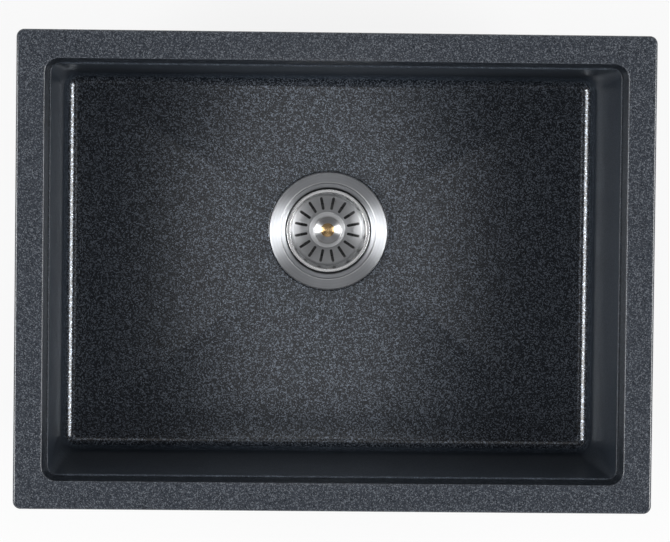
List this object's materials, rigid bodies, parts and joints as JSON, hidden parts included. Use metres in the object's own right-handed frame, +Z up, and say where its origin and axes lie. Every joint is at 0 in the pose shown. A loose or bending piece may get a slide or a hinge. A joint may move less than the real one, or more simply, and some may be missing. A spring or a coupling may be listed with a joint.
{
  "type": "single-bowl kitchen sink with basket strainer waste",
  "caption": "Single-bowl sink moulded in black composite, with a flat rim, a steel waste in its floor and a basket strainer that lifts out and plugs the outlet.",
  "frame": {"origin": "middle of the plane on which the rim rests, at the level of the worktop", "axes": "+X to the right along the sink's long side, +Y to the back, on the drain's side, +Z up out of the bowl"},
  "size_m": [0.61, 0.457, 0.3079],
  "materials": {
    "composite": "moulded quartz composite, matt, finely speckled",
    "brushed_steel": "turned and brushed in circles",
    "polished_steel": "polished",
    "plain_steel": "plain rolled",
    "brass": "turned",
    "rubber": "moulded, matt",
    "black_plastic": "injection moulded, satin",
    "nylon": "natural white"
  },
  "bodies": {
    "sink": {"sink_bowl": "composite", "waste_flange": "brushed_steel", "flange_seal": "rubber", "underside_seal": "rubber", "outlet_housing": "black_plastic", "housing_insert": "brass", "clamp_screw": "brass", "screw_washer": "plain_steel"},
    "catch": {"catch_sleeve": "nylon"},
    "basket": {"basket_cup": "brushed_steel", "basket_plug": "rubber", "plug_plate": "plain_steel", "knob_washer": "nylon", "basket_knob": "polished_steel", "knob_post": "brass", "lock_washer": "plain_steel", "post_nut": "plain_steel"}
  },
  "joints": [
    {"name": "basket_lift", "type": "slide", "parent": "sink", "child": "catch", "axis": [0, 0, 1], "range_m": [0, 0.29]},
    {"name": "basket_turn", "type": "hinge", "parent": "catch", "child": "basket", "pos_m": [0, 0.032, -0.2678], "axis": [0, 0, 1], "continuous": true}
  ]
}
